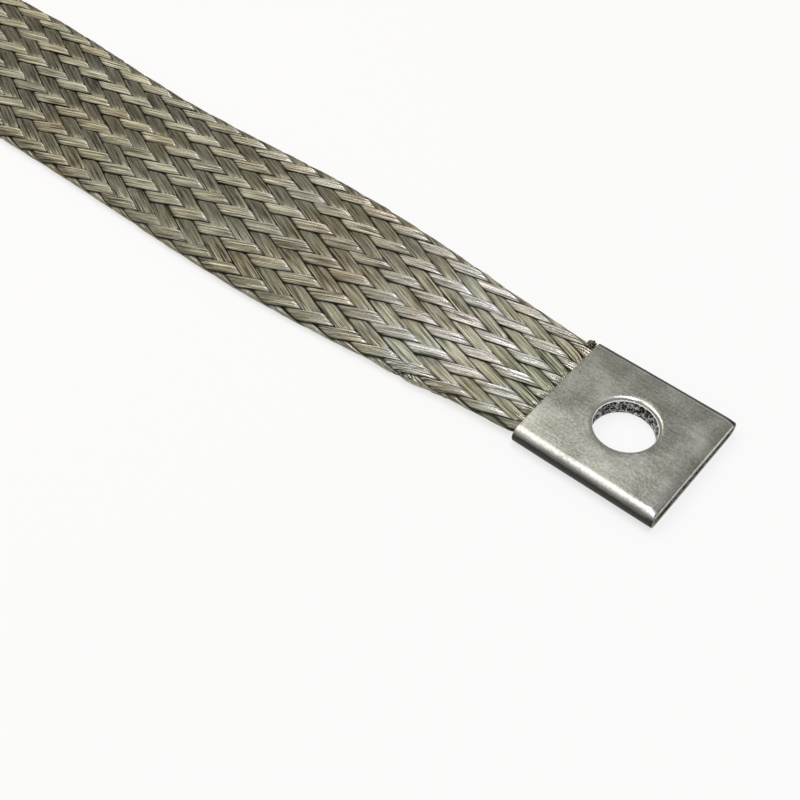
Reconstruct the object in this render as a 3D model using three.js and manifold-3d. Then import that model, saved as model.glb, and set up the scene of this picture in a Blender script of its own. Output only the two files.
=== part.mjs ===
// Flexible busbar braid: a tube of tinned copper braid pressed flat, with a palm at each end.
// A palm is a short tinned copper tube, pressed flat over the strands and punched for a bolt.
// Millimetres. X runs along the strap, Y across it and Z up.
// The origin is on the plane that the strap lies on, under the middle of its box.

import * as THREE from 'three';
import { mergeVertices } from 'three/addons/utils/BufferGeometryUtils.js';
import Module from 'manifold-3d';

const wasm = await Module();
wasm.setup();

// Strap
const strapLength = 250; // over the free ends of both palms
const strapBow = 1.3; // how far the middle of the strap lies to one side

// Palms
const palmLength = 26;
const palmWidth = 25.5;
const palmThickness = 3.6;
const palmWall = 0.9;
const holeDiameter = 10.5; // clears an M10 bolt
const holeToEnd = 13; // from the hole's middle to the free end
const punchRound = 0.45; // radius that the punch draws into the upper rim of the hole
const shearRound = 0.7; // radius that the shear draws into the upper edge of the free end
const strandSideGap = 0.5; // from the packed strands to the fold of the palm, on each side
const strandSetBack = 0.2; // from the strands' cut end to the free end of the palm
const strandOverlap = 0.6; // how far the packed strands reach back into the open weave
const mouthGap = 0.3; // from the open weave to the edge of the palm
const mouthBulge = 0.3; // how far the weave swells out past the packed strands, all round

// Braid
const braidWidth = 33; // at its widest, a taper's length from each palm
const braidWaist = 1.8; // how much narrower it is again in the middle
const braidEdgeThickness = 2.6; // at the folds
const braidCrown = 1.2; // how much higher the middle of the upper face is than its edges
const widthTaper = 60; // from a palm to full width
const thicknessTaper = 44; // from a palm to full thickness
const taperStart = 0.8; // steepness at which the braid starts to open at a palm

// Weave, 2 over 2 under
const rowPairs = 12; // round the braid, rows of floats that lean one way and then the other
const floatLength = 7.45; // along a bundle near a palm, from one parallel gap to the next
const middleFloatLength = 6.9; // the same in the middle, where the braid is pushed together
const weaveDepth = 0.5; // from the crest of a float down to the valley round it
const mouthWeaveDepth = 0.22; // the same where the palm presses the weave
const cutShare = 0.3; // where the weave ends, as a share of the way from one crossing to the next
const floatEndSlope = 0.3; // share of half a float's length that slopes down
const floatSideSlope = 0.17; // share of a float's width that slopes down, on each side

// Fineness of the round forms
const foldSteps = 8;
const holeSteps = 48;

const halfStrap = strapLength / 2;
const mouthX = halfStrap - palmLength; // where the braid leaves a palm
const weaveEndX = mouthX - mouthGap;
const holeX = palmLength - holeToEnd; // in a palm, from its mouth
const strandThickness = palmThickness - 2 * palmWall;
const strandWidth = palmWidth - 2 * palmWall - 2 * strandSideGap;
const rowSteps = 4 * rowPairs; // half spacings of the bundles, once round the braid

const palmMetal = new THREE.MeshStandardMaterial({ color: '#a3a399', roughness: 0.42, metalness: 0.9 });
const braidMetal = new THREE.MeshStandardMaterial({ color: '#8d8976', roughness: 0.5, metalness: 0.8 });

// The solid of a closed mesh.
function solidOf(geometry) {
  const bare = new THREE.BufferGeometry();
  bare.setAttribute('position', geometry.getAttribute('position').clone());
  if (geometry.index) bare.setIndex(geometry.index.clone());
  const merged = mergeVertices(bare, 1e-5);
  return new wasm.Manifold(new wasm.Mesh({
    numProp: 3,
    vertProperties: new Float32Array(merged.getAttribute('position').array),
    triVerts: new Uint32Array(merged.index.array),
  }));
}

// The named mesh of a solid.
function meshOf(name, solid, material) {
  const { vertProperties, triVerts } = solid.getMesh();
  const geometry = new THREE.BufferGeometry();
  geometry.setAttribute('position', new THREE.BufferAttribute(vertProperties, 3));
  geometry.setIndex(new THREE.BufferAttribute(triVerts, 1));
  geometry.computeVertexNormals();
  const mesh = new THREE.Mesh(geometry, material);
  mesh.name = name;
  return mesh;
}

// A flattened tube's section, with round folds, run along X from one end to the other.
function flatBar(width, thickness, middleZ, startX, endX) {
  const fold = thickness / 2;
  const reach = width / 2 - fold;
  const section = new THREE.Shape();
  section.absarc(reach, 0, fold, -Math.PI / 2, Math.PI / 2, false);
  section.absarc(-reach, 0, fold, Math.PI / 2, (3 * Math.PI) / 2, false);
  const bar = new THREE.ExtrudeGeometry(section, {
    depth: endX - startX,
    bevelEnabled: false,
    curveSegments: foldSteps,
  });
  const acrossToY = new THREE.Vector3(0, 1, 0);
  const upToZ = new THREE.Vector3(0, 0, 1);
  const alongToX = new THREE.Vector3(1, 0, 0);
  bar.applyMatrix4(new THREE.Matrix4().makeBasis(acrossToY, upToZ, alongToX));
  bar.translate(startX, 0, middleZ);
  return bar;
}

// A palm's side view, with the upper corner of the free end drawn round, as wide as the palm and more.
function shearedBlank() {
  const past = palmThickness; // the lower edges stay square, so the blank runs on below and behind
  const side = new THREE.Shape();
  side.moveTo(0, -past);
  side.lineTo(palmLength, -past);
  side.lineTo(palmLength, palmThickness - shearRound);
  side.absarc(palmLength - shearRound, palmThickness - shearRound, shearRound, 0, Math.PI / 2, false);
  side.lineTo(0, palmThickness);
  const blank = new THREE.ExtrudeGeometry(side, {
    depth: 2 * palmWidth,
    bevelEnabled: false,
    curveSegments: foldSteps / 2,
  });
  blank.rotateX(Math.PI / 2);
  blank.translate(0, palmWidth, 0);
  return blank;
}

// The punched hole, opening out at the top where the punch draws the metal in.
function punchedHole() {
  const radius = holeDiameter / 2;
  const rim = new THREE.Path();
  rim.moveTo(0, -palmThickness);
  rim.lineTo(radius, -palmThickness);
  rim.lineTo(radius, palmThickness - punchRound);
  rim.absarc(radius + punchRound, palmThickness - punchRound, punchRound, Math.PI, Math.PI / 2, true);
  rim.lineTo(radius + punchRound, 2 * palmThickness);
  rim.lineTo(0, 2 * palmThickness);
  const hole = new THREE.LatheGeometry(rim.getPoints(foldSteps / 2), holeSteps);
  hole.rotateX(Math.PI / 2);
  hole.translate(holeX, 0, 0);
  return hole;
}

// One palm, with its mouth at X = 0 and its free end towards +X.
function palm(name) {
  const outside = flatBar(palmWidth, palmThickness, palmThickness / 2, 0, palmLength);
  const bore = flatBar(
    palmWidth - 2 * palmWall, strandThickness, palmThickness / 2, -palmLength, 2 * palmLength,
  );
  const wall = solidOf(outside).intersect(solidOf(shearedBlank())).subtract(solidOf(bore));
  return meshOf(name, wall.subtract(solidOf(punchedHole())), palmMetal);
}

// How far the braid has opened at a distance from a palm: 0 in the palm and 1 at full size.
function opened(distance, taper) {
  const u = THREE.MathUtils.clamp(distance / taper, 0, 1);
  return taperStart * (u ** 3 - 2 * u ** 2 + u) + 3 * u ** 2 - 2 * u ** 3;
}

// The braid's section at a place along the strap. Its underside comes down to the palms' underside.
function sectionAt(x) {
  const { lerp, smoothstep } = THREE.MathUtils;
  const fromPalm = weaveEndX - Math.abs(x);
  const wide = opened(fromPalm, widthTaper);
  const thick = opened(fromPalm, thicknessTaper);
  const waist = braidWaist * smoothstep(fromPalm, widthTaper, weaveEndX);
  const along = Math.min(1, Math.abs(x) / weaveEndX);
  return {
    halfWidth: (lerp(strandWidth + 2 * mouthBulge, braidWidth, wide) - waist) / 2,
    fold: lerp(strandThickness + 2 * mouthBulge, braidEdgeThickness, thick) / 2,
    crown: braidCrown * thick,
    depth: lerp(mouthWeaveDepth, weaveDepth, thick),
    middleY: -strapBow * Math.cos((Math.PI / 2) * along) ** 4,
    middleZ: lerp(palmThickness, braidEdgeThickness, thick) / 2,
  };
}

// The way round a section, folds and faces.
function girth(section) {
  return 2 * Math.PI * section.fold + 4 * (section.halfWidth - section.fold);
}

// Half the distance along the strap between bundles that run the same way.
// Where the braid is narrow or drawn out, its bundles lie closer to the strap's line.
function halfPitch(x) {
  const bundleSpacing = girth(sectionAt(x)) / (2 * rowPairs);
  const pushed = THREE.MathUtils.smoothstep(weaveEndX - Math.abs(x), thicknessTaper, weaveEndX);
  const length = THREE.MathUtils.lerp(floatLength, middleFloatLength, pushed);
  return Math.sqrt(length ** 2 - bundleSpacing ** 2) / 2;
}

// Where the crossings lie, counted out from the middle of the strap to past the end of the weave.
// They are spread a little so that the end falls between two crossings, clear of both.
function crossingPlaces() {
  const counted = [0];
  while (counted.length < 4 || counted.at(-4) < weaveEndX) {
    const last = counted.at(-1);
    counted.push(last + halfPitch(last));
  }
  const before = counted.findLastIndex((place) => place < weaveEndX);
  const cut = THREE.MathUtils.lerp(counted[before], counted[before + 1], cutShare);
  return counted.map((place) => (place * weaveEndX) / cut);
}

const places = crossingPlaces();

function placeAlong(step) {
  const count = Math.abs(step);
  const whole = Math.min(Math.floor(count), places.length - 2);
  const x = THREE.MathUtils.lerp(places[whole], places[whole + 1], count - whole);
  return Math.sign(step) * x;
}

// A point of the woven surface. It is counted in steps along the strap and steps round the braid,
// from the fold on the +Y side over the upper face, and sunk below the crest by a share of the depth.
function weavePoint(along, round, sunk) {
  const x = placeAlong(along);
  const section = sectionAt(x);
  const { fold, crown } = section;
  const reach = section.halfWidth - fold;
  const face = 2 * reach;
  const turn = Math.PI * fold;
  const quarter = turn / 2;
  const sink = sunk * section.depth;
  const run = ((((round % rowSteps) + rowSteps) % rowSteps) / rowSteps) * girth(section);

  let side;
  let up;
  if (run >= quarter && run <= quarter + face) {
    side = reach - (run - quarter);
    up = fold + crown * (1 - (side / reach) ** 2) - sink;
  } else if (run >= quarter + face + turn && run <= quarter + 2 * face + turn) {
    side = -reach + (run - quarter - face - turn);
    up = -fold + sink;
  } else {
    const farFold = run > quarter && run < quarter + face + turn;
    const backAgain = run > quarter && !farFold;
    const straight = face * (farFold + 2 * backAgain);
    const angle = (run - straight) / fold;
    side = (farFold ? -reach : reach) + (fold - sink) * Math.cos(angle);
    up = (fold - sink) * Math.sin(angle);
  }
  return new THREE.Vector3(x, section.middleY + side, section.middleZ + up);
}

// One float, the stretch of a bundle that lies over two others: a flat crest with sloping edges.
// It leans one way round the braid or the other, and its corners are valley points that others share.
function addFloat(triangles, along, round, lean) {
  const at = (length, width, sunk) =>
    weavePoint(along + length + width, round + lean * (length - width), sunk);
  const edge = [[-1, -0.5], [0, -0.5], [1, -0.5], [1, 0.5], [0, 0.5], [-1, 0.5]].map(
    ([length, width]) => at(length, width, 1),
  );
  const crestLength = 1 - floatEndSlope;
  const crestWidth = 0.5 - floatSideSlope;
  const crest = [[-1, -1], [1, -1], [1, 1], [-1, 1]].map(
    ([length, width]) => at(length * crestLength, width * crestWidth, 0),
  );
  const faces = [
    [crest[0], crest[1], crest[2]],
    [crest[0], crest[2], crest[3]],
    [edge[0], edge[1], crest[0]],
    [edge[1], crest[1], crest[0]],
    [edge[1], edge[2], crest[1]],
    [edge[2], edge[3], crest[2]],
    [edge[2], crest[2], crest[1]],
    [edge[3], edge[4], crest[2]],
    [edge[4], crest[3], crest[2]],
    [edge[4], edge[5], crest[3]],
    [edge[5], edge[0], crest[0]],
    [edge[5], crest[0], crest[3]],
  ];
  for (const [a, b, c] of faces) {
    if (lean > 0) triangles.push(a, b, c);
    else triangles.push(a, c, b);
  }
}

// Closes each end of the woven tube with a fan from its rim to one point.
function closeEnds(geometry) {
  const index = Array.from(geometry.index.array);
  const position = Array.from(geometry.getAttribute('position').array);
  const edges = new Set();
  for (let i = 0; i < index.length; i += 3) {
    for (let k = 0; k < 3; k += 1) edges.add(`${index[i + k]} ${index[i + ((k + 1) % 3)]}`);
  }
  const firstCentre = position.length / 3;
  const endX = placeAlong(places.length - 1);
  for (const side of [-1, 1]) position.push(side * endX, 0, palmThickness / 2);
  for (const edge of edges) {
    const [from, to] = edge.split(' ').map(Number);
    if (!edges.has(`${to} ${from}`)) {
      index.push(to, from, position[3 * from] < 0 ? firstCentre : firstCentre + 1);
    }
  }
  const closed = new THREE.BufferGeometry();
  closed.setAttribute('position', new THREE.Float32BufferAttribute(position, 3));
  closed.setIndex(index);
  return closed;
}

// The open weave: rows of floats that lean one way beside rows that lean the other way.
function weave() {
  const triangles = [];
  const lastStep = 2 * Math.floor((places.length - 3) / 2);
  for (let round = 0; round < rowSteps; round += 4) {
    for (let along = -lastStep; along <= lastStep; along += 2) {
      addFloat(triangles, along + 0.5, round + 0.5, 1);
      addFloat(triangles, along - 0.5, round + 2.5, -1);
    }
  }
  const surface = new THREE.BufferGeometry().setFromPoints(triangles);
  return closeEnds(mergeVertices(surface, 1e-4));
}

// The strands that a palm packs into a solid bar, from the weave to near the palm's free end.
function packedStrands(side) {
  const near = weaveEndX - strandOverlap;
  const far = halfStrap - strandSetBack;
  const [startX, endX] = side > 0 ? [near, far] : [-far, -near];
  return flatBar(strandWidth, strandThickness, palmThickness / 2, startX, endX);
}

function strandHole(side) {
  const hole = new THREE.CylinderGeometry(holeDiameter / 2, holeDiameter / 2, 3 * palmThickness, holeSteps);
  hole.rotateX(Math.PI / 2);
  hole.translate(side * (mouthX + holeX), 0, 0);
  return hole;
}

function braid() {
  const betweenPalms = new THREE.BoxGeometry(2 * weaveEndX, 2 * braidWidth, 4 * palmThickness);
  let body = solidOf(weave()).intersect(solidOf(betweenPalms));
  for (const side of [-1, 1]) {
    body = body.add(solidOf(packedStrands(side))).subtract(solidOf(strandHole(side)));
  }
  return meshOf('braid', body, braidMetal);
}

const rightPalm = palm('palm_right');
rightPalm.position.x = mouthX;

const leftPalm = palm('palm_left');
leftPalm.position.x = -mouthX;
leftPalm.rotation.z = Math.PI;

const strap = new THREE.Group();
strap.add(braid(), rightPalm, leftPalm);
strap.position.y = -new THREE.Box3().setFromObject(strap).getCenter(new THREE.Vector3()).y;

export default strap;
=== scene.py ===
# %% [markdown]
# # A flexible busbar braid
# A busbar braid joins two bars that move or shake against each other. It is a tube woven from flat
# bundles of tinned copper wire, pressed flat, with a short copper tube pressed over each end to make
# a palm, which is punched for a bolt. What gives it its look is the weave, so most of this file is
# the weave: every bundle is a real ribbon of wires that passes over two others and under two others.
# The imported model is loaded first, and everything is placed by it.

# %% Load the frame
import math

import bpy
import numpy as np
from mathutils import Matrix, Vector


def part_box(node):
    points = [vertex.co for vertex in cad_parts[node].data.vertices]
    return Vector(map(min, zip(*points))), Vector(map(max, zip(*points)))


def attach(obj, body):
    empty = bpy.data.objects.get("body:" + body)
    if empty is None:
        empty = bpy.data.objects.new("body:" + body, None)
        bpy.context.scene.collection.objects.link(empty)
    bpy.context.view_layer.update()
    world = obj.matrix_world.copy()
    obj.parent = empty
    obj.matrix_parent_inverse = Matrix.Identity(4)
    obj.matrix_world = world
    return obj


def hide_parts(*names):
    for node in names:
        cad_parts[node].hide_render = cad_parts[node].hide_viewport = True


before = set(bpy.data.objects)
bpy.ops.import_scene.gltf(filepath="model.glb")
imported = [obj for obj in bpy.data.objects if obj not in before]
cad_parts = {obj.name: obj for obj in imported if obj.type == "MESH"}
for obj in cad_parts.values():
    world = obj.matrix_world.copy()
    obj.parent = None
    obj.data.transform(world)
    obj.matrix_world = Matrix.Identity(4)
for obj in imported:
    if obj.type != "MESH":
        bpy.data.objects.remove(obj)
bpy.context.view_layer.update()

MM = 0.001  # metres in a millimetre

# %% [markdown]
# ## Sizes
# The palms' boxes give the strap's own sizes, so they are read from the frame. The wall of the palm,
# the hole and the weave aren't in a box, so they are written here as real sizes in millimetres.
# Work goes on in millimetres, and only the finished points become metres.

# %% Sizes from the frame and of the weave
right_low, right_high = (np.array(corner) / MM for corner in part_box("palm_right"))
braid_low, braid_high = (np.array(corner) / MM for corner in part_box("braid"))
PALM_LENGTH, PALM_WIDTH, PALM_THICKNESS = right_high - right_low
MOUTH_X = right_low[0]  # where the braid enters a palm
PALM_Y = (right_low[1] + right_high[1]) / 2
STRAND_END_X = braid_high[0]

PALM_WALL = 0.9
PALM_FOLD = PALM_THICKNESS / 2
HOLE_RADIUS = 10.5 / 2  # the hole clears an M10 bolt
HOLE_TO_END = 13.0
HOLE_X = PALM_LENGTH - HOLE_TO_END  # from the mouth
STRAND_SIDE_GAP = 0.5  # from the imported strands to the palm's fold, on each side

STRAP_BOW = 1.3
BRAID_WIDTH = 33.0
BRAID_WAIST = 1.8  # how much narrower the braid is again in its middle
BRAID_EDGE_THICKNESS = 2.6
BRAID_CROWN = 1.2  # how much higher the middle of the upper face is than its edges
WIDTH_TAPER = 60.0  # from a palm to full width
THICKNESS_TAPER = 44.0
TAPER_START = 0.8  # steepness at which the braid starts to open
MOUTH_GAP = 0.3  # from the open weave to the edge of the palm
WEAVE_END_X = MOUTH_X - MOUTH_GAP
MOUTH_BULGE = 0.3  # how far the weave swells out in front of a palm
MOUTH_STEP = 1.4  # mm over which it is squeezed down into the palm
STRAND_THICKNESS = PALM_THICKNESS - 2 * PALM_WALL
STRAND_WIDTH = PALM_WIDTH - 2 * PALM_WALL - 2 * STRAND_SIDE_GAP

ROW_PAIRS = 12  # rows of floats that lean one way and then the other, round the braid
BUNDLES_EACH_WAY = 2 * ROW_PAIRS
ROW_STEPS = 4 * ROW_PAIRS
FLOAT_LENGTH = 7.45  # along a bundle near a palm, from one parallel gap to the next
MIDDLE_FLOAT_LENGTH = 6.9  # the same in the middle, where the braid is pushed together
BUNDLE_THICKNESS = 0.5
MOUTH_BUNDLE_THICKNESS = 0.36
print("mouth at", round(MOUTH_X, 3), "mm, palm middle at y", round(PALM_Y, 3), "mm")

# %% [markdown]
# ## A mesh from arrays
# Every shape below is worked out as whole arrays of points, so one helper turns points and faces
# into a mesh. Faces come as arrays with one row for each face, which may have any number of corners.
# A second helper turns a grid's rows and columns into four-cornered faces.

# %% Mesh helpers
def make_piece(name, points_mm, face_arrays, stands_for, uv=None, mark=None):
    """An object whose mesh holds the points (millimetres turned to metres) and the faces.

    uv gives each point a place on the surface. mark is a name and one value for each point, which the
    material reads.
    """
    mesh = bpy.data.meshes.new(name)
    mesh.vertices.add(len(points_mm))
    mesh.vertices.foreach_set("co", (points_mm * MM).astype(np.float32).ravel())
    corners = np.concatenate([faces.ravel() for faces in face_arrays])
    sizes = np.concatenate([np.full(len(faces), faces.shape[1]) for faces in face_arrays])
    starts = np.concatenate([[0], np.cumsum(sizes)[:-1]])
    mesh.loops.add(len(corners))
    mesh.loops.foreach_set("vertex_index", corners.astype(np.int32))
    mesh.polygons.add(len(sizes))
    mesh.polygons.foreach_set("loop_start", starts.astype(np.int32))
    mesh.polygons.foreach_set("use_smooth", np.ones(len(sizes), dtype=bool))
    mesh.update(calc_edges=True)
    if uv is not None:
        layer = mesh.uv_layers.new(name="surface")
        layer.data.foreach_set("uv", uv[corners].astype(np.float32).ravel())
    if mark is not None:
        attribute = mesh.attributes.new(mark[0], "FLOAT", "POINT")
        attribute.data.foreach_set("value", mark[1].astype(np.float32))
    mesh.validate()
    piece = bpy.data.objects.new(name, mesh)
    bpy.context.collection.objects.link(piece)
    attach(piece, "root")
    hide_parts(stands_for)
    return piece


def grid_faces(rows, columns, first=0, closed_rows=False, closed_columns=False):
    """Four-cornered faces between the neighbouring points of a grid that is stored row by row."""
    row = np.arange(rows if closed_rows else rows - 1)[:, None]
    column = np.arange(columns if closed_columns else columns - 1)[None, :]
    next_row, next_column = (row + 1) % rows, (column + 1) % columns
    corners = [row * columns + column, row * columns + next_column,
               next_row * columns + next_column, next_row * columns + column]
    grid = (len(row), column.shape[1])
    return first + np.stack([np.broadcast_to(c, grid) for c in corners], -1).reshape(-1, 4)


# %% [markdown]
# ## The braid's form
# Before it is woven, the braid is a surface: a tube pressed flat, wide and slightly domed in the
# middle and squeezed to the palm's inside at each end. It could be a plain flat bar, but the slope
# down to the palm is what catches the light in front of it. So the section's width, fold and crown
# are functions of the place along the strap.

# %% The form that the bundles follow
def opened(distance, taper):
    """How far the braid has opened at a distance from a palm: a cubic from 0, with a start slope, to 1."""
    u = np.clip(distance / taper, 0, 1)
    return TAPER_START * (u**3 - 2 * u**2 + u) + 3 * u**2 - 2 * u**3


def between(start, end, share):
    """The value at a share of the way from start to end."""
    return start + (end - start) * share


def eased(share):
    """0 to 1 with a gentle start and end: three squares less two cubes, held outside 0 and 1."""
    u = np.clip(share, 0, 1)
    return u * u * (3 - 2 * u)


def section_at(x):
    """The section's half width, fold radius, crown, and the place of its middle, at x along the strap."""
    from_palm = np.maximum(0, WEAVE_END_X - np.abs(x))
    wide, thick = opened(from_palm, WIDTH_TAPER), opened(from_palm, THICKNESS_TAPER)
    waist = BRAID_WAIST * eased((from_palm - WIDTH_TAPER) / (WEAVE_END_X - WIDTH_TAPER))
    bulge = MOUTH_BULGE * eased((MOUTH_X - np.abs(x)) / MOUTH_STEP)
    along = np.minimum(1, np.abs(x) / WEAVE_END_X)
    half_width = (between(STRAND_WIDTH + 2 * bulge, BRAID_WIDTH, wide) - waist) / 2
    fold = between(STRAND_THICKNESS + 2 * bulge, BRAID_EDGE_THICKNESS, thick) / 2
    middle_y = PALM_Y - STRAP_BOW * np.cos(math.pi / 2 * along) ** 4
    middle_z = between(PALM_THICKNESS, BRAID_EDGE_THICKNESS, thick) / 2
    return half_width, fold, BRAID_CROWN * thick, middle_y, middle_z, thick


def on_braid(x, share, sink):
    """The point at x along the strap and a share of the way round, sunk below the outside by sink.

    The way round starts at the fold on the +Y side and goes over the upper face: a quarter circle,
    a straight face, a half circle, the lower face and a quarter circle. The crown lifts the upper face
    by a parabola.
    """
    half_width, fold, crown, middle_y, middle_z, _ = section_at(x)
    reach = half_width - fold
    face, turn = 2 * reach, math.pi * fold
    run = np.mod(share, 1) * (2 * turn + 2 * face)
    on_top = (run >= turn / 2) & (run <= turn / 2 + face)
    on_far_fold = (run > turn / 2 + face) & (run < 1.5 * turn + face)
    below = (run >= 1.5 * turn + face) & (run <= 1.5 * turn + 2 * face)
    straight = np.where(on_far_fold, face, np.where(run > turn, 2 * face, 0))
    angle = (run - straight) / fold
    top_side = reach - (run - turn / 2)
    below_side = -reach + (run - 1.5 * turn - face)
    fold_side = np.where(on_far_fold, -reach, reach) + (fold - sink) * np.cos(angle)
    side = np.select([on_top, below], [top_side, below_side], fold_side)
    top_up = fold + crown * (1 - (top_side / reach) ** 2) - sink
    up = np.select([on_top, below], [top_up, sink - fold], (fold - sink) * np.sin(angle))
    return np.stack([np.broadcast_to(x, side.shape), middle_y + side, middle_z + up], -1)


# %% [markdown]
# ## Where the bundles cross
# On a braiding machine half the bobbins run one way round and half the other, so the bundles cross on
# a slanted lattice. Where the braid is narrow or drawn out, the bundles turn closer to the strap's own
# line and the crossings lie further apart along it. So the crossings are counted out from the middle,
# one after another, with that rule.

# %% Crossing places
def half_pitch(x):
    """Half the distance along the strap between parallel bundles: the short side of a right triangle."""
    half_width, fold, *_ = section_at(x)
    girth = 2 * math.pi * fold + 4 * (half_width - fold)
    pushed = eased((WEAVE_END_X - abs(x) - THICKNESS_TAPER) / (WEAVE_END_X - THICKNESS_TAPER))
    length = between(FLOAT_LENGTH, MIDDLE_FLOAT_LENGTH, pushed)
    return math.sqrt(length**2 - (girth / BUNDLES_EACH_WAY) ** 2) / 2


BUNDLE_RUN_IN = 3.6  # how far the bundles run on into a palm
END_SHARE = 0.3  # where the open weave ends, as a share of the way from one crossing to the next
crossings = [0.0]
while len(crossings) < 4 or crossings[-4] < MOUTH_X + BUNDLE_RUN_IN:
    crossings.append(crossings[-1] + half_pitch(crossings[-1]))
before_end = np.searchsorted(crossings, WEAVE_END_X) - 1
counted_end = between(crossings[before_end], crossings[before_end + 1], END_SHARE)
crossings = np.array(crossings) * WEAVE_END_X / counted_end
LAST_STEP = np.interp(MOUTH_X + BUNDLE_RUN_IN, crossings, np.arange(len(crossings)))


def place_along(step):
    """The place along the strap of a count of crossings from the middle, between whole counts too."""
    return np.sign(step) * np.interp(np.abs(step), np.arange(len(crossings)), crossings)


print("the bundles run to", round(LAST_STEP, 2), "crossings each side of the middle")

# %% [markdown]
# ## The bundles
# A bundle is a flat ribbon of parallel wires. It could be drawn as bump on one sheet, but a real
# braid shows steps, shadows and slits where bundles dive under others, and those need geometry. Each
# ribbon here is a grid: its columns run round the ribbon, over ten wires and back below, and its
# rows step along it, closest together where it dives. A ribbon's height follows a nearly square wave,
# up for two crossings and down for two. Bundles lie edge to edge, so only thin slits stay between
# them. No bundle is perfect: it tips a little to one side and the other, its wires wander, one here
# and there stands up, and at the near fold in front of a palm, where the tube was creased as it was
# pressed, they are crumpled.

# %% Wave and small disorder
WIRES = 10  # seen across a bundle
STEP_ROWS = 5  # rows of points from one crossing to the next
ROW_CROWDING = 0.68  # how much closer the rows lie where a bundle dives
DIVE = 5.5  # how steeply a bundle dives
SQUARENESS = 0.88  # share of the pressed wave in a bundle's height; the rest is the plain cosine
CRUMPLE_FROM_MOUTH = 20.0  # mm from a palm's mouth to the middle of the crumpled stretch
CRUMPLE_LENGTH = 6.0
CRUMPLE_REACH = 0.035  # either way from the fold, as a share of the way round
rng = np.random.default_rng(48)
tilt_rng = np.random.default_rng(24)


def wander(rows, spacing, columns=1, source=rng):
    """Smooth random curves between -1 and 1, one for each column: random knots joined by easing."""
    knots = source.uniform(-1, 1, (int(rows / spacing) + 3, columns))
    place = np.arange(rows) / spacing
    low = place.astype(int)
    ease = eased(place - low)[:, None]
    return knots[low] * (1 - ease) + knots[low + 1] * ease


def over_under(crossing):
    """1 on top, -1 below: a cosine of period four, pressed towards a square wave."""
    wave = np.cos(math.pi / 2 * (crossing - 0.5))
    return SQUARENESS * np.tanh(DIVE * wave) / math.tanh(DIVE) + (1 - SQUARENESS) * wave


def crumpled(x, share):
    """How crumpled the braid is: a bell curve along X times one round the fold, near one palm's mouth.

    It is the -Y fold at the +X end, half way round, and the +Y fold at the other end.
    """
    along = np.exp(-((np.abs(x) - MOUTH_X + CRUMPLE_FROM_MOUTH) / CRUMPLE_LENGTH) ** 2)
    from_fold = np.abs(np.mod(share + np.where(x > 0, 0, 0.5), 1) - 0.5)
    return along * np.exp(-(from_fold / CRUMPLE_REACH) ** 2)


# %% [markdown]
# ## Painted shade
# Shade is painted into the braid's colour where it falls: in the slits, at the bundles' edges, round the
# folds and on the lower face. The dark line lies mostly on one side of a slit, as a shadow does, so
# the painted shade is worked out from a wave that is moved a little along X. Each point's painted shade
# is a number from 0 to 1 that the wire's material reads. It could be a noise in the material, but
# then it wouldn't know the weave.

# %% Where the painted shade lies
FOLD_SHADE_REACH = 0.8  # mm that the painted shade of a fold reaches onto the flat face
FOLD_SHADE, LOWER_SHADE = 0.2, 0.1
MIDDLE_SHADE = 0.3  # share of the painted shade that is left in the middle of the strap
SHADE_DRIFT = 0.06  # how far the painted shade lies off its slit along X, as a share of a crossing
CREVICE_DEPTH = 1.2  # how far down the painted shade is full, as a share of a bundle's thickness


def fold_and_lower_shade_at(points):
    """How much painted shade the braid gets for its place: more round the folds, below and near a palm."""
    half_width, fold, _, middle_y, middle_z, _ = section_at(points[..., 0])
    past_flat = np.abs(points[..., 1] - middle_y) - half_width + fold
    onto_fold = eased((past_flat + FOLD_SHADE_REACH) / (fold + FOLD_SHADE_REACH))
    below = eased(1.5 * (middle_z - points[..., 2]) / fold)
    to_palm = eased((np.abs(points[..., 0]) - 0.55 * MOUTH_X) / (0.3 * MOUTH_X))
    return between(MIDDLE_SHADE, 1, to_palm) * (FOLD_SHADE * onto_fold + LOWER_SHADE * below)


def edge_shade(across, lean):
    """Painted shade at a bundle's edges: a sixth power across it, and more on one side of a rising bundle.
    """
    share = 0.1 if lean > 0 else 0.15 + 0.26 * across
    return share * (2 * np.abs(across)) ** 6


# %% [markdown]
# ## The wires across a bundle
# A bundle's upper face has a column of points on each wire's top and one in each groove between two
# wires. Slow random curves move the wires a little from side to side and up and down, and a wire
# whose curve is high stands out. The crumple shakes all of them much more, and faster.

# %% Wires across a bundle
COLUMNS = 2 * WIRES + 1
ACROSS = np.linspace(-0.5, 0.5, COLUMNS)[None, :]  # the columns, as shares of a bundle's width
IS_TOP = np.arange(COLUMNS)[None, :] % 2
WIRE_GROOVE = 0.07  # mm, from a wire's top to the groove beside it
WIRE_UNREST, LIFTED_WIRE = 0.02, 0.16  # mm that any wire and a loose one may stand up
CRUMPLE_HEIGHT, CRUMPLE_UNREST = 0.22, 0.42  # mm
# painted shade among the crumpled wires
CRUMPLE_SHADE = 0.45


def uneven_wires(crumple):
    """Each outer point's place across, how far it lies below its even height (mm), and its painted shade.
    """
    loose = wander(len(crumple), 2.3 * STEP_ROWS, COLUMNS)
    restless = wander(len(crumple), 1.7, COLUMNS)
    inside_edges = np.abs(ACROSS) < 0.49
    across = ACROSS + (0.012 * loose + 0.03 * crumple * restless) * inside_edges
    groove = WIRE_GROOVE * (1 - IS_TOP) * (1 + 0.6 * np.roll(loose, 3, 1))
    stands_out = np.clip(np.roll(loose, 5, 1) - 0.55, 0, 1)
    lift = (WIRE_UNREST * np.roll(loose, 7, 1) + LIFTED_WIRE * stands_out) * IS_TOP
    ruffle = crumple * (CRUMPLE_HEIGHT + CRUMPLE_UNREST * np.roll(restless, 4, 1))
    # Painted shade among the crumpled wires: some dark, others left bright.
    dirt = CRUMPLE_SHADE * crumple * np.clip(np.roll(restless, 6, 1), 0, 1)
    return across, groove - lift - ruffle, dirt


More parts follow.
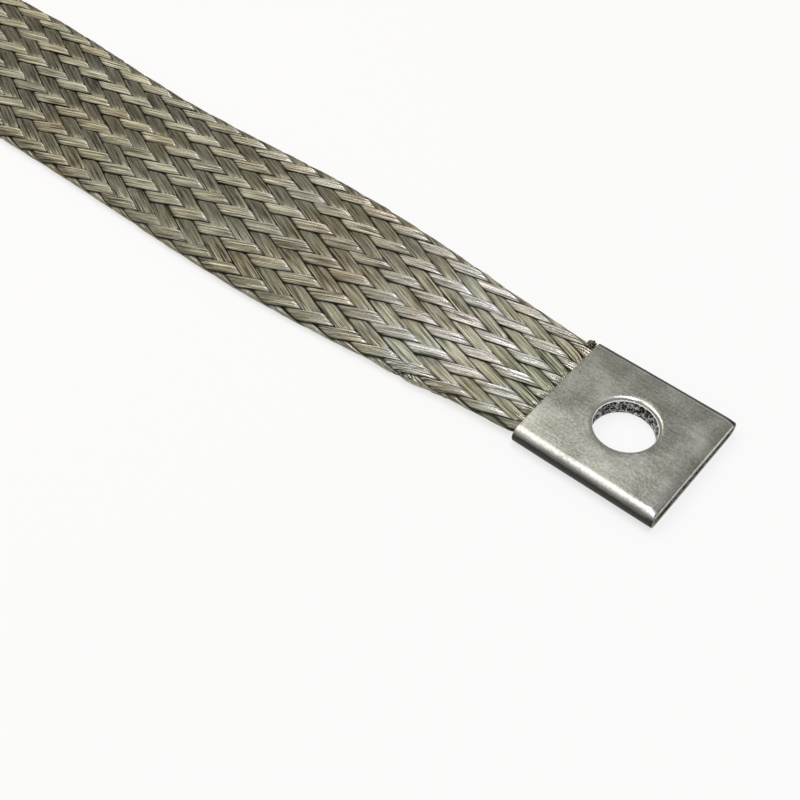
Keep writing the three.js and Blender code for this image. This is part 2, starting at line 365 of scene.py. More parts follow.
# %% [markdown]
# ## One ribbon
# The rows give the places along a ribbon and its height there. The columns are the wires of the upper
# face, with the ribbon's edges rounded down, and three points of the lower face, which nobody sees.
# Last, each point is set on the braid's form by its place along, its share of the way round and its
# depth below the outside. Its map coordinates are the wire's number and the length along the bundle.

# %% The grid of one ribbon
BUNDLE_TILT = 0.1  # mm that an edge of a bundle may lie lower than the other
BUNDLE_FILL = 0.985  # share of its room that a bundle fills on top
DIVING_NARROWER = 0.035  # how much narrower it is where it dives
CLEARANCE = 0.05  # mm that the wires' tops lie below the braid's form
LOWER_ACROSS = np.array([[0.42, 0.0, -0.42]])  # the points of the lower face, as ACROSS
LOWER_DEPTH = 0.98  # of the lower face, as a share of a bundle's thickness
COUNTED_APART = 16  # from one bundle's wires to the next one's, in the count that the material reads


def rows_along(lean):
    """Places along a bundle, counted in crossings: even ones, drawn towards each dive by a sine."""
    even = np.linspace(-LAST_STEP, LAST_STEP, 2 * math.ceil(LAST_STEP * STEP_ROWS) + 1)[:, None]
    dive = 1 + 0.5 * lean
    return even - ROW_CROWDING / math.pi * np.sin(math.pi * (even - dive))


def ribbon(number, lean):
    """The points of one bundle, with its place on the surface and its painted shade, row by row.

    lean is 1 for a bundle that goes round the braid with growing X and -1 for one that goes back.
    """
    along = rows_along(lean)
    rows = len(along)
    start = 2 * number
    crossing = start + lean * along
    height = lean * over_under(crossing)
    middle_x = place_along(along)
    thickness = between(MOUTH_BUNDLE_THICKNESS, BUNDLE_THICKNESS, section_at(middle_x)[5])
    crumple = crumpled(middle_x, crossing / ROW_STEPS)
    spread = BUNDLE_FILL - DIVING_NARROWER * (1 - height**2) + 0.02 * wander(rows, 4.3 * STEP_ROWS)
    drift = 0.03 * wander(rows, 3.1 * STEP_ROWS)
    upper_across, uneven, crumple_shade = uneven_wires(crumple)
    tilt = BUNDLE_TILT * wander(rows, 3.7 * STEP_ROWS, source=tilt_rng)

    rounding = 0.3 * (2 * np.abs(ACROSS)) ** 8 + 0.04 * (2 * ACROSS) ** 2
    dived = thickness * (1 - height) / 2
    upper_sink = dived + thickness * rounding + uneven
    tilted = np.abs(tilt) + 2 * tilt * ACROSS
    lower_sink = np.broadcast_to(dived + thickness * LOWER_DEPTH, (rows, 3))
    sink = np.concatenate([upper_sink + tilted, lower_sink], 1) + CLEARANCE
    lower_across = np.broadcast_to(LOWER_ACROSS, (rows, 3))
    across = np.concatenate([upper_across, lower_across], 1) * spread + drift
    share = (start + lean * (along - across)) / ROW_STEPS
    points = on_braid(place_along(along + across), share, sink)

    first_wire = COUNTED_APART * (2 * number + (lean > 0))
    wire = (np.concatenate([ACROSS, LOWER_ACROSS], 1) + 0.5) * WIRES + first_wire
    length = along * FLOAT_LENGTH / 2
    uv = np.stack([np.broadcast_to(wire, across.shape), np.broadcast_to(length, across.shape)], -1)

    # Painted shade: deep in the slits where a bundle dives, its wave moved along X so the dark line lies
    # on one side like a shadow; then the edges, the crumple and the folds. The unseen lower face is fully
    # shaded.
    shaded_height = lean * over_under(crossing - lean * SHADE_DRIFT)
    shade_depth = upper_sink + thickness * (height - shaded_height) / 2
    dirt = shade_depth / (CREVICE_DEPTH * thickness) + edge_shade(ACROSS, lean) + crumple_shade
    dirt = np.concatenate([dirt, np.ones((rows, 3))], 1)
    return points, uv, np.clip(dirt + fold_and_lower_shade_at(points), 0, 1)


# %% [markdown]
# ## Six groups of ribbons
# All 48 ribbons in one mesh would be a heavy piece, and 48 pieces are many to keep track of. So each
# way round the braid has three pieces of eight ribbons. A ribbon's two ends are closed with one face
# each, out of sight in the palms.

# %% Weave the braid
def weave(name, numbers, lean):
    """One piece that holds the ribbons with those numbers."""
    points, uvs, painted_shades, faces, caps, first = [], [], [], [], [], 0
    for number in numbers:
        ribbon_points, uv, dirt = ribbon(number, lean)
        rows, columns = dirt.shape
        body = grid_faces(rows, columns, first, closed_columns=True)
        ends = first + np.stack([np.arange(columns)[::-1], (rows - 1) * columns + np.arange(columns)])
        faces.append(body[:, ::-1] if lean > 0 else body)
        caps.append(ends[:, ::-1] if lean > 0 else ends)
        points.append(ribbon_points.reshape(-1, 3))
        uvs.append(uv.reshape(-1, 2))
        painted_shades.append(dirt.ravel())
        first += rows * columns
    return make_piece(
        name, np.concatenate(points), faces + caps, "braid",
        np.concatenate(uvs), ("dirt", np.concatenate(painted_shades)),
    )


GROUPS = 3  # pieces for each way round
bundle_pieces = []
for lean, word in ((1, "falling"), (-1, "rising")):
    for group in range(GROUPS):
        numbers = range(group, BUNDLES_EACH_WAY, GROUPS)
        bundle_pieces.append(weave(f"bundles_{word}_{group + 1}", numbers, lean))
print("ribbon faces:", sum(len(piece.data.polygons) for piece in bundle_pieces))

# %% [markdown]
# ## Loose wires
# Where the tube's fold is forced into the palm's corner, a few wires have no room. They stand out in
# front of the far corner of the mouth as a small dark tuft, whose wires are darkened by painted shade.
# Each is a thin tube round part of a ring, the rings lie in random planes round one middle, and all
# of them together make a knot. One wire in twelve is left without painted shade and catches the light.

# %% Loose wires at the corners
WIRE_RADIUS = 0.13
WIRE_SIDES = 6
WIRE_STEPS = 11  # rings of points along a loose wire
TUFT_WIRES = 34
UNSHADED_WIRE = 12  # every so many wires one is left without painted shade
TUFT_MIDDLE = np.array([-1.1, 11.3, PALM_FOLD + 0.8])  # from the mouth and the palm's middle line
TUFT_SPREAD = 0.22  # mm


def wire_tube(path):
    """Rings of points round a path: the two directions across it come from cross products."""
    ahead = np.gradient(path, axis=0)
    ahead /= np.linalg.norm(ahead, axis=1, keepdims=True)
    across = np.cross(ahead, [0.31, 0.87, 0.38])
    across /= np.linalg.norm(across, axis=1, keepdims=True)
    other = np.cross(ahead, across)
    turn = np.arange(WIRE_SIDES) / WIRE_SIDES * 2 * math.pi
    ring = across[:, None] * np.cos(turn)[None, :, None] + other[:, None] * np.sin(turn)[None, :, None]
    return path[:, None] + WIRE_RADIUS * ring


def tuft(name, side):
    """The loose wires at one palm, in front of its far corner. side is 1 or -1 along X."""
    points, faces, painted_shades, first = [], [], [], 0
    steps = np.linspace(0, 1, WIRE_STEPS)[:, None]
    count = WIRE_STEPS * WIRE_SIDES
    end = np.arange(WIRE_SIDES)
    for number in range(TUFT_WIRES):
        middle = TUFT_MIDDLE + TUFT_SPREAD * rng.normal(size=3)
        plane = np.linalg.qr(rng.normal(size=(3, 2)))[0]
        turn = rng.uniform(0, 6) + rng.uniform(3, 6) * steps
        radius = rng.uniform(0.25, 0.55) * (1 + rng.uniform(0, 0.5) * steps)
        path = middle + radius * (plane[:, 0] * np.cos(turn) + plane[:, 1] * np.sin(turn))
        faces.append(grid_faces(WIRE_STEPS, WIRE_SIDES, first, closed_columns=True))
        faces.append(first + np.array([end[::-1], count - WIRE_SIDES + end]))
        points.append(wire_tube(path).reshape(-1, 3))
        # The knot's wires get painted shade, all but every twelfth.
        painted_shades.append(np.full(count, 0.15 if number % UNSHADED_WIRE == 0 else rng.uniform(0.36, 0.56)))
        first += count
    local = np.concatenate(points)
    placed = np.stack([side * (MOUTH_X + local[:, 0]), PALM_Y + side * local[:, 1], local[:, 2]], -1)
    uv = np.stack([np.full(len(local), 0.5), local[:, 0]], -1)
    return make_piece(name, placed, faces, "braid", uv, ("dirt", np.concatenate(painted_shades)))


bundle_pieces += [tuft("loose_wires_right", 1), tuft("loose_wires_left", -1)]

# %% [markdown]
# ## The palms
# A palm is a copper tube pressed flat, so its long edges are round folds, its two ends are cut and
# open, and both skins are punched through. The punch draws the upper skin down round the hole, and
# the shear does the same along the free end. One way would be to bend a plate and cut it with
# booleans, but their faces shade badly. Here each skin is a set of rings that blend from the hole's
# circle to the skin's outline, laid out flat, and then bent round the folds by a formula. The outside
# and the inside of the wall are two such sets, joined at the hole and at the cut ends.

# %% Rings round the bolt hole
RING_SIDES = 64  # points along each side of the palm's outline


def outline_round_hole(half_length_low, half_length_high, half_width):
    """Points round a rectangle that holds the hole's middle at (0, 0), the same count on each side."""
    steps = np.arange(RING_SIDES) / RING_SIDES
    low, high = -half_length_low, half_length_high
    sides = [
        np.stack([np.full(RING_SIDES, high), between(-half_width, half_width, steps)], -1),
        np.stack([between(high, low, steps), np.full(RING_SIDES, half_width)], -1),
        np.stack([np.full(RING_SIDES, low), between(half_width, -half_width, steps)], -1),
        np.stack([between(low, high, steps), np.full(RING_SIDES, -half_width)], -1),
    ]
    return np.concatenate(sides)


def circle_towards(outline, radius):
    """For each point of the outline, the point of the circle that lies in the same direction."""
    return radius * outline / np.linalg.norm(outline, axis=1, keepdims=True)


# %% The palm's wall
SKIN_REACH = PALM_WIDTH / 2 - PALM_FOLD  # from the middle to where a fold starts
WALL_MIDDLE = PALM_FOLD - PALM_WALL / 2  # radius of the fold in the middle of the wall
HALF_SKIN = SKIN_REACH + math.pi / 2 * WALL_MIDDLE
PALM_CROWN = 0.1  # mm that the flat lies lower at the folds than in its middle
ROLL_LENGTH = 2.2  # mm over which the shear bends the upper skin down at the free end
ROLL_DEPTHS = 0.35, 0.8  # mm that it is bent down at the near fold and at the far one
UPPER_ROUNDS = 0.65, 0.3  # radius of the upper skin's edge at the hole and at the free end
LOWER_ROUNDS = 0.12, 0.1
MOUTH_ROUND = 0.12


def drawn_down(distance, radius):
    """How far an edge that is drawn round by that radius lies below the face, at a distance from it."""
    inward = np.clip(radius - distance, 0, radius)
    return radius - np.sqrt(radius**2 - inward**2)


def roll_over(to_end, s):
    """How far the shear has bent the upper skin down near the free end, more towards the far fold."""
    depth = between(*ROLL_DEPTHS, eased(0.5 + s / PALM_WIDTH))
    return depth * np.clip(1 - to_end / ROLL_LENGTH, 0, 1) ** 2.2


def skin_dents(x, s):
    """Shallow unevenness from the press: a few slow waves, in hundredths of a millimetre."""
    waves = np.sin(0.45 * x + 0.8) * np.cos(0.38 * s - 0.5) + 0.6 * np.sin(0.31 * x - 0.52 * s)
    return 0.012 * (1.6 + waves)


def skin_rings(upper, inside, ring_shares, outline):
    """Rings of points from the hole to the outline of one skin, bent round the folds.

    x and s are the place on the skin laid out flat, from the hole's middle. Past the flat part, s
    becomes an angle round the fold, so y is a sine and z a cosine of it.
    """
    hole = circle_towards(outline, HOLE_RADIUS)
    flat = between(hole[:, None, :], outline[:, None, :], ring_shares[None, :, None])
    x, s = flat[..., 0], flat[..., 1]
    sunk = np.full(x.shape, PALM_WALL if inside else 0.0)
    to_end = PALM_LENGTH - HOLE_X - x
    if not inside:
        to_hole = np.linalg.norm(flat, axis=-1) - HOLE_RADIUS
        to_mouth = HOLE_X + x
        hole_round, end_round = UPPER_ROUNDS if upper else LOWER_ROUNDS
        sunk = sunk + drawn_down(to_hole, hole_round) + drawn_down(to_end, end_round)
        sunk = sunk + drawn_down(to_mouth, MOUTH_ROUND) + skin_dents(x, s)
        sunk = sunk + PALM_CROWN * np.clip(np.abs(s) / SKIN_REACH, 0, 1) ** 2
    bend = np.clip(np.abs(s) - SKIN_REACH, 0, None) / WALL_MIDDLE
    radius = PALM_FOLD - sunk
    y = np.clip(s, -SKIN_REACH, SKIN_REACH) + np.sign(s) * radius * np.sin(bend)
    z = radius * np.cos(bend) * (1 if upper else -1)
    if upper:
        z = z - roll_over(to_end, s) * np.cos(bend) ** 2
    return np.stack([HOLE_X + x, y, PALM_FOLD + z], -1)


def join_same_points(points, faces):
    """Points that lie in the same place become one: which to keep, and the faces on those."""
    _, keep, number = np.unique(np.round(points, 5), axis=0, return_index=True, return_inverse=True)
    return keep, [number.ravel()[f] for f in faces]


# %% [markdown]
# ### Wear, painted shade and painted sheen on the wall
# The folds are where a palm is knocked and rubbed dull, and they are also darkened with painted shade,
# the near fold most on its lower half. The rim that the punch drew into the hole is burnished and given a
# painted sheen. The sheet's material can't tell a fold from a flat, so each point carries a number:
# above 0 on the folds, more below than above on the near one, and below 0 on the drawn rim.

# %% Wear, painted shade and painted sheen of each point
DRAWN_RIM = 0.6  # mm that the punch has burnished round the hole


def wear_shade_sheen_at(wall):
    """The wear, painted shade and painted sheen of each point: 0 on the flats, up to 1 on a worn, shaded
    fold and down to -1 at the hole's rim.
    """
    past_flat = np.clip((np.abs(wall[:, 1]) - SKIN_REACH) / PALM_FOLD, 0, 1)
    # Painted shade: the near fold darkest on its lower half, the far fold dark all along. The drawn rim
    # gets a painted sheen.
    lower_part = np.clip(1.6 * (1.75 - wall[:, 2] / PALM_FOLD), 0, 1)
    near_fold = past_flat * 0.5 + 0.5 * np.clip(3 * past_flat, 0, 1) * lower_part
    far_fold = np.clip(2.0 * past_flat, 0, 0.8)
    to_hole = np.hypot(wall[:, 0] - HOLE_X, wall[:, 1]) - HOLE_RADIUS
    drawn_rim = np.clip(1 - to_hole / DRAWN_RIM, 0, 1) * (wall[:, 2] > PALM_FOLD)
    return np.where(drawn_rim > 0, -drawn_rim, np.where(wall[:, 1] > 0, far_fold, near_fold))


# %% [markdown]
# ### One palm
# For each skin a profile runs from the outline over the outside to the hole, down the hole's wall and
# back along the inside. The profiles of all the outline's points make a closed grid, and a rim joins
# its two edges at the cut ends. At the folds the upper and lower skins share their points.

# %% Make the palms
NEAR_HOLE, FOLD_FROM, EDGE_FROM = 0.07, 0.7, 0.96  # shares of the way from the hole to the outline
SHEET, CUT_EDGE, WIRE_ENDS = range(3)  # the order of a palm's materials


def ring_shares():
    """Where the rings lie: crowded at the hole and at the edge, where the wall turns sharply."""
    near_hole = np.linspace(0, 1, 8) ** 1.7 * NEAR_HOLE
    middle = np.linspace(NEAR_HOLE, FOLD_FROM, 7)[1:]
    round_fold = np.linspace(FOLD_FROM, EDGE_FROM, 12)[1:]
    near_edge = 1 - 0.04 * (1 - np.linspace(0, 1, 8)[1:]) ** 1.7
    return np.concatenate([near_hole, middle, round_fold, near_edge])


def palm_shell(name, side):
    """One palm as a closed wall. side is 1 at the +X end and -1 at the other, turned half round."""
    outline = outline_round_hole(HOLE_X, PALM_LENGTH - HOLE_X, HALF_SKIN)
    shares = ring_shares()
    count = len(outline)
    points, faces, first = [], [], 0
    for upper in (True, False):
        outside = skin_rings(upper, False, shares, outline)
        inside = skin_rings(upper, True, shares, outline)
        hole_wall = between(outside[:, :1], inside[:, :1], np.linspace(0, 1, 5)[None, 1:-1, None])
        profile = np.concatenate([outside[:, ::-1], hole_wall, inside], 1)
        length = profile.shape[1]
        body = grid_faces(count, length, first, closed_rows=True)
        start = np.arange(count) * length
        following = np.roll(start, -1)
        rim = first + np.stack(
            [start, start + length - 1, following + length - 1, following], -1)
        is_end = (np.arange(count) // RING_SIDES) % 2 == 0
        faces += [f if upper else f[:, ::-1] for f in (body, rim[is_end])]
        points.append(profile.reshape(-1, 3))
        first += count * length
    points = np.concatenate(points)
    keep, faces = join_same_points(points, faces)
    wall = points[keep]
    placed = np.stack([side * (MOUTH_X + wall[:, 0]), PALM_Y + side * wall[:, 1], wall[:, 2]], -1)
    stands_for = f"palm_{'right' if side > 0 else 'left'}"
    piece = make_piece(name, placed, faces, stands_for, mark=("wear", wear_shade_sheen_at(wall)))
    finish = np.concatenate([np.full(len(f), (SHEET, CUT_EDGE)[n % 2]) for n, f in enumerate(faces)])
    middles = np.concatenate([wall[f].mean(1) for f in faces])
    finish[np.hypot(middles[:, 0] - HOLE_X, middles[:, 1]) < HOLE_RADIUS] = WIRE_ENDS
    piece.data.polygons.foreach_set("material_index", finish.astype(np.int32))
    piece.data.polygons.foreach_set("use_smooth", finish != CUT_EDGE)
    return piece


palm_pieces = [palm_shell("palm_shell_right", 1), palm_shell("palm_shell_left", -1)]
print("palm faces:", [len(piece.data.polygons) for piece in palm_pieces])

# %% [markdown]
# ## Packed strands
# Inside a palm the weave is pressed so hard that it is one block of wire. It shows in the bolt hole
# and at the cut end as a dark, rough face of cut wires. A plate with a hole makes it: for each
# direction round the hole, a profile runs up the hole's wall, out over the top, down the outside and
# back below. The hole's wall and the outside are roughened point by point.

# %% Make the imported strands
STRAND_HALF = STRAND_THICKNESS / 2 - 0.02  # just clear of the palm's skins, so no faces lie together
STRAND_START = 1.0  # mm inside the mouth
STRAND_LAYERS = 9  # points up a wall
HOLE_ROUGHNESS, CUT_ROUGHNESS = 0.028, 0.012  # shares of the distance from the hole's middle


def packed_strands(name, side):
    """The block of wire inside one palm, with the palm's hole through it. side is 1 or -1 along X."""
    beyond_hole = STRAND_END_X - MOUTH_X - HOLE_X
    outline = outline_round_hole(HOLE_X - STRAND_START, beyond_hole, STRAND_WIDTH / 2)
    hole = circle_towards(outline, HOLE_RADIUS)
    heights = np.linspace(-STRAND_HALF, STRAND_HALF, STRAND_LAYERS)
    roughness = rng.uniform(-1, 1, (len(outline), STRAND_LAYERS))
    hole_wall = hole[:, None, :] * (1 + HOLE_ROUGHNESS * roughness[:, :, None])
    cut_wall = outline[:, None, :] * (1 - CUT_ROUGHNESS * (1 + roughness[:, ::-1, None]))
    flat = np.concatenate([hole_wall, cut_wall[:, ::-1]], 1)
    up = np.broadcast_to(np.concatenate([heights, heights[::-1]]), flat.shape[:2])
    pressed = np.where(up > 0, roll_over(PALM_LENGTH - HOLE_X - flat[..., 0], flat[..., 1]), 0)
    up = up - pressed * (up / STRAND_HALF)
    points = np.stack([
        side * (MOUTH_X + HOLE_X + flat[..., 0]), PALM_Y + flat[..., 1] * side, PALM_FOLD + up,
    ], -1)
    faces = grid_faces(len(outline), 2 * STRAND_LAYERS, closed_rows=True, closed_columns=True)
    return make_piece(name, points.reshape(-1, 3), [faces], "braid")


strand_pieces = [packed_strands("packed_strands_right", 1), packed_strands("packed_strands_left", -1)]

# %% [markdown]
# ## Materials
# Three finishes show: the tinned wire of the braid, the cut wire ends in the hole and at the free
# end, and the pressed tinned sheet of the palms. All are metal, so the shader's colour is the metal's
# own and its roughness does the rest. Colours are written as they look on a screen, and one function
# turns them to the linear values that the shader needs. A pattern's scale is how often it repeats in a
# metre, so it is written as a count to the millimetre.

# %% Colour and node helpers
PER_MM = 1 / MM


def linear(hex_colour):
    """The linear colour of an sRGB hex value, by the sRGB curve."""
    parts = [int(hex_colour[i:i + 2], 16) / 255 for i in (0, 2, 4)]
    return [*((c / 12.92 if c <= 0.04045 else ((c + 0.055) / 1.055) ** 2.4) for c in parts), 1.0]


def add(tree, kind, inputs=None, stops=(), **settings):
    """A node with its settings and links.

    An input is a plain value or a (node, output) pair to link from. Stops are those of a colour ramp,
    as (place, hex colour).
    """
    node = tree.nodes.new(kind)
    for key, value in settings.items():
        setattr(node, key, value)
    for key, value in (inputs or {}).items():
        if isinstance(value, tuple) and isinstance(value[0], bpy.types.Node):
            tree.links.new(value[0].outputs[value[1]], node.inputs[key])
        else:
            node.inputs[key].default_value = value
    for number, (place, colour) in enumerate(stops):
        elements = node.color_ramp.elements
        element = elements[number] if number < len(elements) else elements.new(place)
        element.position, element.color = place, linear(colour)
    return node


def blank_material(name):
    """A material with nodes and nothing in it yet."""
    material = bpy.data.materials.new(name)
    material.use_nodes = True
    material.node_tree.nodes.clear()
    return material, material.node_tree


def weighted(tree, parts):
    """The sum of (node, output) pairs, each times its weight."""
    total = None
    for (node, output), weight in parts:
        term = add(tree, "ShaderNodeMath", {0: (node, output), 1: weight}, operation="MULTIPLY")
        if total is not None:
            term = add(tree, "ShaderNodeMath", {0: (total, "Value"), 1: (term, "Value")}, operation="ADD")
        total = term
    return total


# %% [markdown]
# ### Tinned wire
# Drawn copper wire with a thin coat of tin, a little tarnished: a grey metal with a khaki cast,
# brighter on the tops of the wires, with painted shade in dark brown between them. The ribbon's own
# map counts wires one way and millimetres the other. So a sine of the count rounds each wire as bump,
# and a noise that is read once for each wire and slowly along it makes one wire brighter than the next.
# The painted shade between dull wires is wide, and between bright ones it is thin. A slow noise on
# object coordinates brings the browner and greener patches. From the middle of the strap to its palms
# the cast changes a little, and a painted band of light lies about 80 mm out. The painted shade of each
# point covers all of this in the slits. The real wires are finer than the ten of a bundle here: they are
# drawn as coarse as they need to be to show.

# %% Tinned wire material
PATCHES = 0.09 * PER_MM  # a patch of one cast is about 11 mm wide
CAST_FROM, CAST_TO = 0.055, 0.099  # metres from the strap's middle, over which the cast and the painted light change


def tinned_wire():
    """Tinned copper wire: bright tops, khaki cast, painted shade in the gaps, a painted band of light near
    the palms, and round wires as bump.
    """
    material, tree = blank_material("tinned_copper_wire_tarnished")
    surface = add(tree, "ShaderNodeUVMap", uv_map="surface")
    split = add(tree, "ShaderNodeSeparateXYZ", {0: (surface, "UV")})
    count = add(tree, "ShaderNodeMath", {0: (split, "X")}, operation="FLOOR")
    half_turns = add(tree, "ShaderNodeMath", {0: (split, "X"), 1: math.pi}, operation="MULTIPLY")
    wave = add(tree, "ShaderNodeMath", {0: (half_turns, "Value")}, operation="SINE")
    round_wire = add(tree, "ShaderNodeMath", {0: (wave, "Value")}, operation="ABSOLUTE")
    by_wire = add(tree, "ShaderNodeCombineXYZ", {"X": (count, "Value"), "Y": (split, "Y")})
    per_wire = add(tree, "ShaderNodeMapping", {"Vector": (by_wire, "Vector"), "Scale": (0.73, 0.11, 1.0)})
    streaks = add(tree, "ShaderNodeTexNoise", {
        "Vector": (per_wire, "Vector"), "Scale": 1.0, "Detail": 2.0, "Roughness": 0.55})
    place = add(tree, "ShaderNodeTexCoord")
    patches = add(tree, "ShaderNodeTexNoise", {
        "Vector": (place, "Object"), "Scale": PATCHES, "Detail": 3.0, "Roughness": 0.5})
    bright = add(tree, "ShaderNodeValToRGB", {"Fac": (streaks, "Fac")},
                 [(0.32, "75746A"), (0.5, "D5D5CA"), (0.66, "FAFAF6")])
    cast = add(tree, "ShaderNodeValToRGB", {"Fac": (patches, "Fac")},
               [(0.36, "F2EADA"), (0.5, "F4F2E7"), (0.64, "F2F4EC")])
    tinned = add(tree, "ShaderNodeMix", {0: 1.0, 6: (bright, "Color"), 7: (cast, "Color")},
                 data_type="RGBA", blend_type="MULTIPLY")
    # Painted light along the strap: darker in the middle, lightest about 80 mm out near the palms, with a
    # slight change of cast.
    split_place = add(tree, "ShaderNodeSeparateXYZ", {0: (place, "Object")})
    from_middle = add(tree, "ShaderNodeMath", {0: (split_place, "X")}, operation="ABSOLUTE")
    to_palm = add(tree, "ShaderNodeMapRange", {
        "Value": (from_middle, "Value"), "From Min": CAST_FROM, "From Max": CAST_TO})
    cast_and_light_along_strap = add(tree, "ShaderNodeValToRGB", {"Fac": (to_palm, "Result")},
                      [(0.0, "D8D3C8"), (0.58, "FFFFFF"), (1.0, "DCD9C8")])
    tarnished = add(tree, "ShaderNodeMix", {0: 1.0, 6: (tinned, 2), 7: (cast_and_light_along_strap, "Color")},
                    data_type="RGBA", blend_type="MULTIPLY")
    # Painted shade: the grooves between wires, wide between dull wires, and the slits, edges and folds by
    # each point's painted shade, mixed towards near black.
    groove_shade_width = add(tree, "ShaderNodeMapRange", {
        "Value": (streaks, "Fac"), "From Min": 0.35, "From Max": 0.6, "To Min": 0.95, "To Max": 0.4})
    groove_shade = add(tree, "ShaderNodeMapRange", {
        "Value": (round_wire, "Value"), "From Min": 0.0, "From Max": (groove_shade_width, "Result"),
        "To Min": 0.95, "To Max": 0.0})
    dirt = add(tree, "ShaderNodeAttribute", attribute_name="dirt")
    slit_shade = add(tree, "ShaderNodeMapRange", {
        "Value": (dirt, "Fac"), "From Min": 0.26, "From Max": 0.46, "To Min": 0.0, "To Max": 0.82})
    darkest = add(tree, "ShaderNodeMath", {0: (slit_shade, "Result"), 1: (groove_shade, "Result")},
                  operation="MAXIMUM")
    shaded = add(tree, "ShaderNodeMix", {0: (darkest, "Value"), 6: (tarnished, 2), 7: linear("181712")},
                data_type="RGBA")
    drawn = add(tree, "ShaderNodeMapRange", {
        "Value": (streaks, "Fac"), "From Min": 0.3, "From Max": 0.7, "To Min": 0.33, "To Max": 0.2})
    matte = add(tree, "ShaderNodeMapRange", {
        "Value": (dirt, "Fac"), "From Min": 0.05, "From Max": 0.35, "To Min": 0.0, "To Max": 0.4})
    rough = add(tree, "ShaderNodeMath", {0: (drawn, "Result"), 1: (matte, "Result")}, operation="ADD")
    bump = add(tree, "ShaderNodeBump", {
        "Height": (round_wire, "Value"), "Strength": 1.0, "Distance": 0.00008})
    shader = add(tree, "ShaderNodeBsdfPrincipled", {
        "Base Color": (shaded, 2), "Metallic": 0.92, "Roughness": (rough, "Value"),
        "Normal": (bump, "Normal")})
    add(tree, "ShaderNodeOutputMaterial", {"Surface": (shader, "BSDF")})
    return material


# %% [markdown]
# ### Cut wire ends
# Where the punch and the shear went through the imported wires, hundreds of small ends stand side by
# side, some smeared bright and some in shadow. Cells a quarter of a millimetre wide, about one wire,
# give each end its own brightness, and a slower noise gathers them into smears.

# %% Cut wire ends material
WIRE_ENDS_SCALE = 3.6 * PER_MM
SMEARS = 1.5 * PER_MM


def cut_wire_ends():
    """Cut copper wires, end on: bright and shadowed cells, gathered into smears."""
    material, tree = blank_material("cut_copper_wire_ends")
    place = add(tree, "ShaderNodeTexCoord")
    cells = add(tree, "ShaderNodeTexVoronoi", {"Vector": (place, "Object"), "Scale": WIRE_ENDS_SCALE})
    smears = add(tree, "ShaderNodeTexNoise", {
        "Vector": (place, "Object"), "Scale": SMEARS, "Detail": 1.0, "Roughness": 0.5})
    brightness = weighted(tree, [((cells, "Color"), 0.4), ((smears, "Fac"), 0.6)])
    tone = add(tree, "ShaderNodeValToRGB", {"Fac": (brightness, "Value")},
               [(0.4, "171613"), (0.5, "504E48"), (0.6, "E2E2DE")])
    bump = add(tree, "ShaderNodeBump", {
        "Height": (cells, "Distance"), "Strength": 0.8, "Distance": 0.0003})
    shader = add(tree, "ShaderNodeBsdfPrincipled", {
        "Base Color": (tone, "Color"), "Metallic": 0.85, "Roughness": 0.5, "Normal": (bump, "Normal")})
    add(tree, "ShaderNodeOutputMaterial", {"Surface": (shader, "BSDF")})
    return material


# %% [markdown]
# ### Pressed tinned sheet
# The palm's tin is satin: the press has flattened it and handling has rubbed it. It shows faint
# streaks along the strap, a fine mottled grain of about half a millimetre, cloudy duller patches and
# some long scratches. Each of these is its own noise on object coordinates, and their sum picks the
# tone. The wear number of each point then makes the folds matte and darkens them with painted shade,
# the near one most on its lower part, with a ragged edge, and gives the burnished rim that the punch
# drew into the hole a painted sheen.

# %% Pressed tinned sheet material
STREAKS = (0.12 * PER_MM, 2.2 * PER_MM, 1.2 * PER_MM)  # 8 mm long and half a millimetre wide
SCRATCHES = (0.045 * PER_MM, 5.2 * PER_MM, 0.045 * PER_MM)  # 22 mm long and a fifth of one wide
CLOUDS = 0.17 * PER_MM  # 6 mm wide
GRAIN = 2.3 * PER_MM


